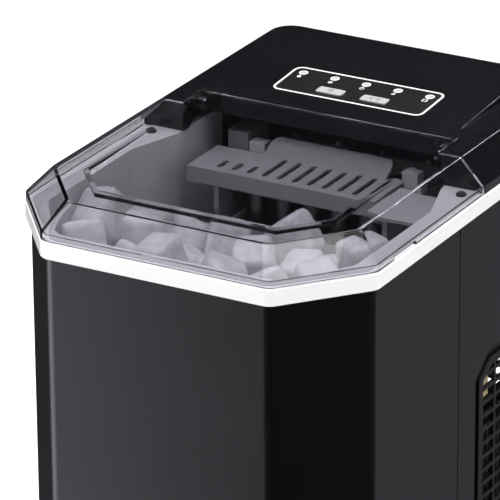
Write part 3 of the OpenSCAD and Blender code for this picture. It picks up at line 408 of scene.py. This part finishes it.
eased("lid", "clear_lid", "lid", 0.35 * MM)
eased("trim_band", "white_trim", "cabinet", 0.5 * MM, turn=25)
eased("top_housing", "black_top", "cabinet", 0.4 * MM)
eased("front_casing", "front_cover", "cabinet", 0.3 * MM)
eased("rear_casing", "rear_cover", "cabinet", 0.3 * MM)
eased("ice_shovel", "grey_shovel", "shovel", 0.3 * MM)
eased("power_button", "power_key", "power_button", 0.3 * MM)
eased("select_button", "select_key", "select_button", 0.3 * MM)

# %% [markdown]
# ## Panel print
# The control film carries white ink: a rounded frame, a ring round each lamp and a small sign for
# each function. Ink is a film a tenth of a millimetre thick, so each mark is a flat shape given that
# thickness. The marks are drawn flat, each from one bmesh primitive, then laid on the sloping film.

# %% Panel print
INK, ABOVE_FILM = 0.08 * MM, 0.005 * MM
FILM, LAMP_R, KEY_RISE = 0.4 * MM, 1.4 * MM, 0.6 * MM
label_low, label_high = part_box("panel_label")
lamp_low, lamp_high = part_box("indicator_lamps")
key_low, key_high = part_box("power_button")
key2_low, key2_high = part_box("select_button")
slope = math.atan2(label_high.z - label_low.z - FILM, label_high.y - label_low.y)
film_origin = Vector((0, label_low.y, label_low.z + FILM))
on_film = Matrix.Translation(film_origin) @ Matrix.Rotation(slope, 4, "X")
film_w = label_high.x - label_low.x
film_d = (label_high.y - label_low.y) / math.cos(slope)
lamp_row = lamp_high.x - lamp_low.x - 2 * LAMP_R
lamp_u = [lamp_low.x + LAMP_R + i * lamp_row / 4 for i in range(5)]
lamp_v = ((lamp_low.y + lamp_high.y) / 2 - label_low.y) / math.cos(slope)
key_v = ((key_low.y + key_high.y) / 2 - label_low.y) / math.cos(slope)
print("film", round(film_w, 4), round(film_d, 4), "lamps at", round(lamp_v, 4))


def flat_face(bm, width, depth, radius, steps=6):
    """A rectangle with round corners, on the XY plane about the origin."""
    made = bmesh.ops.create_grid(bm, x_segments=1, y_segments=1, size=0.5)
    bmesh.ops.scale(bm, vec=(width, depth, 1), verts=made["verts"])
    bmesh.ops.bevel(bm, geom=made["verts"], offset=radius, offset_type="OFFSET", segments=steps,
                    profile=0.5, affect="VERTICES", material=-1)
    return bm.faces[:]


def ring_of(bm, width):
    """Keep only a rim of that width of the faces in bm."""
    bmesh.ops.inset_region(bm, faces=bm.faces[:], thickness=width, use_even_offset=True,
                           use_boundary=True)
    bm.faces.ensure_lookup_table()
    biggest = max(bm.faces, key=lambda f: f.calc_area() if len(f.verts) > 4 else 0)
    bmesh.ops.delete(bm, geom=[biggest], context="FACES_ONLY")


def disc_face(bm, radius, steps=24):
    bmesh.ops.create_circle(bm, cap_ends=True, segments=steps, radius=radius)


class Print:
    """Marks gathered into one mesh, each drawn flat and moved to its place."""

    def __init__(self):
        self.all = bmesh.new()

    def add(self, draw, u, v, turn=0.0, lift=0.0):
        mark = bmesh.new()
        draw(mark)
        up = bmesh.ops.extrude_face_region(mark, geom=mark.faces[:])["geom"]
        raised = [part for part in up if isinstance(part, bmesh.types.BMVert)]
        bmesh.ops.translate(mark, vec=(0, 0, INK), verts=raised)
        bmesh.ops.recalc_face_normals(mark, faces=mark.faces[:])
        at = Matrix.Translation((u, v, lift + ABOVE_FILM)) @ Matrix.Rotation(turn, 4, "Z")
        bmesh.ops.transform(mark, matrix=on_film @ at, verts=mark.verts[:])
        pour(mark, self.all)

    def finish(self, name, body, ink):
        return new_piece(name, self.all, ink, body, "button_white")


def bar(length, width):
    return lambda bm: flat_face(bm, length, width, min(length, width) * 0.4, 2)


def ring(outer, width, steps=24):
    def draw(bm):
        disc_face(bm, outer, steps)
        ring_of(bm, width)
    return draw


def frame_line(width, depth, radius, line):
    def draw(bm):
        flat_face(bm, width, depth, radius)
        ring_of(bm, line)
    return draw


def drop(radius):
    def draw(bm):
        disc_face(bm, radius, 20)
        top = max(bm.verts, key=lambda v: v.co.y)
        bmesh.ops.translate(bm, vec=(0, radius * 0.9, 0), verts=[top])
    return draw


EDGE, THIN = 0.4 * MM, 0.5 * MM
ink = Print()
ink.add(frame_line(film_w - EDGE, film_d - EDGE, 5 * MM, 1.25 * MM), 0, film_d / 2)
for u in lamp_u:
    ink.add(ring(2.7 * MM, 1.0 * MM), u, lamp_v)
sign_v = lamp_v - 5.6 * MM
ink.add(drop(1.25 * MM), lamp_u[0], sign_v)
for lean in (30, 90, 150):
    ink.add(bar(3.4 * MM, THIN), lamp_u[1], sign_v, math.radians(lean))
ink.add(ring(1.5 * MM, 0.45 * MM), lamp_u[2], sign_v)
ink.add(bar(1.7 * MM, THIN), lamp_u[2], sign_v + 1.2 * MM, math.pi / 2)
ink.add(frame_line(2.0 * MM, 2.0 * MM, 0.4 * MM, 0.45 * MM), lamp_u[3] - THIN, sign_v + THIN)
ink.add(frame_line(3.2 * MM, 3.2 * MM, THIN, THIN), lamp_u[4] - THIN, sign_v)
ink.finish("panel_print", "cabinet", "print_white")

power_u = (key_low.x + key_high.x) / 2
legend = Print()
legend.add(ring(1.7 * MM, 0.45 * MM), power_u, key_v, lift=KEY_RISE)
legend.add(bar(2.0 * MM, THIN), power_u, key_v + 1.3 * MM, math.pi / 2, lift=KEY_RISE)
legend.finish("power_legend", "power_button", "print_grey")

select_u = (key2_low.x + key2_high.x) / 2
legend = Print()
for side in (-1, 1):
    for end in (1, -1):
        legend.add(bar(2.4 * MM, THIN), select_u + side * 2.0 * MM, key_v + end * 0.8 * MM,
                   -end * side * math.radians(40), lift=KEY_RISE)
legend.finish("select_legend", "select_button", "print_grey")

# %% [markdown]
# ## Chamber rivets
# The wall behind the freezing fingers is near black, as painted shade for the shadow under the
# housing. A row of small rivets sits on it, painted white as painted highlights for pin-point glints.
# Each is a low dome: the upper half of a sphere, flattened.

# %% Chamber rivets
chamber_low, chamber_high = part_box("chamber_back")
wall_y = chamber_high.y - 2 * MM
RIVET_R, RIVET_DROP = 1.5 * MM, 24.3 * MM
rivets = bmesh.new()
for along in (-45.5, -18.6, 10.7, 39.8):
    dome = bmesh.new()
    bmesh.ops.create_uvsphere(dome, u_segments=14, v_segments=8, radius=RIVET_R)
    bmesh.ops.bisect_plane(dome, geom=dome.verts[:] + dome.edges[:] + dome.faces[:],
                           plane_co=(0, 0, 0), plane_no=(0, 0, -1), clear_outer=True)
    bmesh.ops.holes_fill(dome, edges=[e for e in dome.edges if e.is_boundary], sides=0)
    bmesh.ops.scale(dome, vec=(1, 1, 0.6), verts=dome.verts)
    at = Matrix.Translation((along * MM, wall_y, chamber_high.z - RIVET_DROP))
    bmesh.ops.transform(dome, matrix=at @ Matrix.Rotation(math.pi / 2, 4, "X"), verts=dome.verts)
    pour(dome, rivets)
# The white finish on the rivets is a painted highlight: they stand for glints on nickel, not for a
# pale metal.
new_piece("rivets_as_painted_glints", rivets, "button_white", "cabinet", "button_white", smooth=40)

# %% [markdown]
# ## Sleeve on the feed line
# The copper feed line is lagged where it crosses the freezing chamber. The sleeve follows the pipe's
# own surface, a little way out from it.

# %% Sleeve on the feed line
shovel_low, shovel_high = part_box("ice_shovel")
SLEEVE, BELOW_SHOVEL = 0.6 * MM, 16 * MM
sleeve = bmesh.new()
sleeve.from_mesh(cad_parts["refrigerant_lines"].data)
bmesh.ops.remove_doubles(sleeve, verts=sleeve.verts, dist=SEAM)
outside = [f for f in sleeve.faces if f.calc_center_median().z < shovel_low.z - BELOW_SHOVEL
           or f.calc_center_median().y > wall_y]
bmesh.ops.delete(sleeve, geom=outside, context="FACES")
sleeve.normal_update()
for vert, out in [(v, v.normal.copy()) for v in sleeve.verts]:
    vert.co += out * SLEEVE
new_piece("line_sleeve", sleeve, "rubber_black", "cabinet", "rubber_black", smooth=40)

# %% [markdown]
# ## Ice
# The basket is heaped with fresh ice: blocks about 24 mm across with melted, rounded edges. Each is a
# bevelled cube pushed about a little. A heap that is placed by hand looks like a wall of bricks, so
# the blocks are dropped: each tries a few places and rests at the lowest one that clears the others.
# The heap keeps under the lid, inside the cut corners and out of the shovel's way. Shares of a block
# say how near its centre comes to a wall, a floor, the rim or another block.

# %% Ice
basket_low, basket_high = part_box("ice_basket")
ICE = 24 * MM
PUSH = 36 * MM
HEAPED = 27 * MM
UNDER_SHOVEL = 3 * MM
SIDE, END, FLOOR = 10 * MM, 7 * MM, 4 * MM
CUT, CUT_SLOPE = 19 * MM, 0.68
TO_WALL, TO_FLOOR, TO_RIM, TO_TOP, APART = 0.62, 0.55, 0.36, 0.7, 1.12
DROPS, TRIES = 260, 26
chance = random.Random(11)


def heap_top(y):
    """How high the ice may reach at a distance from the front."""
    swept = shovel_low.y - PUSH - ICE * 0.6
    return shovel_low.z - UNDER_SHOVEL if y > swept else basket_high.z + HEAPED


centres = []
inside_x = basket_high.x - SIDE - ICE * TO_WALL
y_front = basket_low.y + SIDE + ICE * TO_WALL
y_back = basket_high.y - END - ICE * TO_WALL
on_floor = basket_low.z + FLOOR + ICE * TO_FLOOR
on_rim = basket_high.z + ICE * TO_RIM
for block in range(DROPS):
    best = None
    for attempt in range(TRIES):
        y = chance.uniform(basket_low.y + ICE * 0.2, y_back)
        reach = min(basket_high.x, basket_high.x - CUT + (y - basket_low.y) * CUT_SLOPE)
        x = chance.uniform(-reach, reach)
        z = on_floor if abs(x) < inside_x and y > y_front else on_rim
        for cx, cy, cz in centres:
            away = (ICE * APART) ** 2 - (x - cx) ** 2 - (y - cy) ** 2
            if away > 0:
                z = max(z, cz + math.sqrt(away))
        if best is None or z < best[2]:
            best = (x, y, z)
    if best[2] + ICE * TO_TOP < heap_top(best[1]):
        centres.append(best)
print(len(centres), "blocks of ice")


def ice_block(size):
    bm = bmesh.new()
    bmesh.ops.create_cube(bm, size=size)
    bmesh.ops.bevel(bm, geom=bm.edges[:], offset=size * 0.2, offset_type="OFFSET", segments=4,
                    profile=0.5, affect="EDGES", material=-1)
    for vert in bm.verts:
        vert.co *= 1 + chance.uniform(-0.02, 0.02)
    bmesh.ops.smooth_vert(bm, verts=bm.verts[:], factor=0.4, use_axis_x=True, use_axis_y=True,
                          use_axis_z=True)
    return bm


heap = bmesh.new()
for x, y, z in centres:
    block = ice_block(ICE * chance.uniform(0.92, 1.05))
    spin = Euler([chance.uniform(0, math.tau) for _ in range(3)]).to_matrix().to_4x4()
    bmesh.ops.transform(block, matrix=Matrix.Translation((x, y, z)) @ spin, verts=block.verts[:])
    pour(block, heap)
new_piece("ice_heap", heap, "ice", "basket", "basket_clear", smooth=50)

# %% [markdown]
# ## Studio
# A pale floor, a large soft light overhead and weaker ones at both sides make the soft shading. Three
# glowing cards give the dark faces something to mirror. The room is dark at eye level and bright
# above, because glossy tops mirror what stands opposite the camera.

# %% Studio
FLOOR_HALF, FLOOR_GAP = 8, 0.5 * MM
floor_data = bpy.data.meshes.new("studio_floor")
floor_bm = bmesh.new()
bmesh.ops.create_grid(floor_bm, x_segments=1, y_segments=1, size=FLOOR_HALF)
floor_bm.to_mesh(floor_data)
floor_bm.free()
floor = bpy.data.objects.new("studio_floor", floor_data)
floor.location.z = cad_low.z - FLOOR_GAP
paper = Finish("paper")
floor_data.materials.append(paper.done(paper.surface(
    Base_Color=paper.blend(paper.noise(0.4), grey(0.9), grey(0.93)), Roughness=0.9)))
bpy.context.scene.collection.objects.link(floor)


def softbox(name, place, aim, size, power):
    data = bpy.data.lights.new(name, "AREA")
    data.shape, data.size, data.size_y = "RECTANGLE", size[0], size[1]
    data.energy = power
    lamp = bpy.data.objects.new(name, data)
    lamp.location = place
    lamp.rotation_euler = (Vector(aim) - Vector(place)).to_track_quat("-Z", "Y").to_euler()
    bpy.context.scene.collection.objects.link(lamp)


def card(name, place, aim, size, glow):
    """A glowing card that only glossy surfaces see, as a studio reflector just out of view."""
    sheet = bmesh.new()
    bmesh.ops.create_grid(sheet, x_segments=1, y_segments=1, size=0.5)
    bmesh.ops.scale(sheet, vec=(size[0], size[1], 1), verts=sheet.verts)
    facing = (Vector(aim) - Vector(place)).to_track_quat("Z", "Y").to_matrix().to_4x4()
    bmesh.ops.transform(sheet, matrix=Matrix.Translation(place) @ facing, verts=sheet.verts)
    mesh = bpy.data.meshes.new(name)
    sheet.to_mesh(mesh)
    sheet.free()
    paint = Finish(name)
    light = paint.node("Emission", None, {"Color": (0.96, 0.94, 1.06, 1), "Strength": glow})
    mesh.materials.append(paint.done(light))
    mesh.materials[0].cycles.emission_sampling = "NONE"
    piece = bpy.data.objects.new(name, mesh)
    bpy.context.scene.collection.objects.link(piece)
    piece.visible_camera = piece.visible_diffuse = piece.visible_shadow = False
    piece.visible_transmission = piece.visible_volume_scatter = False


softbox("overhead", (-0.2, -0.2, 2.2), (0, 0, 0), (2.4, 2.4), 70)
softbox("right_fill", (1.8, 0.1, 0.9), (0, 0, 0.25), (0.8, 1.2), 14)
softbox("left_front", (-1.6, -1.6, 1.3), (0, 0, 0.2), (0.9, 1.6), 26)
card("left_card", (-0.80, -0.58, -0.17), (-0.06, -0.158, 0.15), (0.75, 1.3), 3.2)
card("right_card", (0.75, 0.95, -0.15), (0.11, 0.0, 0.15), (0.9, 1.0), 0.34)
card("edge_card", (0.15, 1.75, 1.55), (0, 0, 0.32), (0.9, 0.3), 30)
floor.visible_glossy = False

room = Finish("studio_room", bpy.data.worlds)
height = room.node("SeparateXYZ", None, {0: room.node("TexCoord", out="Generated")}, out="Z")
upward = room.node("ValToRGB", {"stops": ((0.62, (0.015, 0.015, 0.018, 1)), (0.95, (1, 1, 1, 1)))},
                   {0: height})
mirrored = room.node("Background", None, {"Color": upward, "Strength": 1.0})
seen = room.node("Background", None, {"Color": (0.95, 0.95, 0.95, 1)})
to_camera = room.node("LightPath", out="Is Camera Ray")
backdrop = room.node("MixShader", None, {0: to_camera, 1: mirrored, 2: seen})
bpy.context.scene.world = room.done(backdrop, kind="OutputWorld")
print("studio ready")
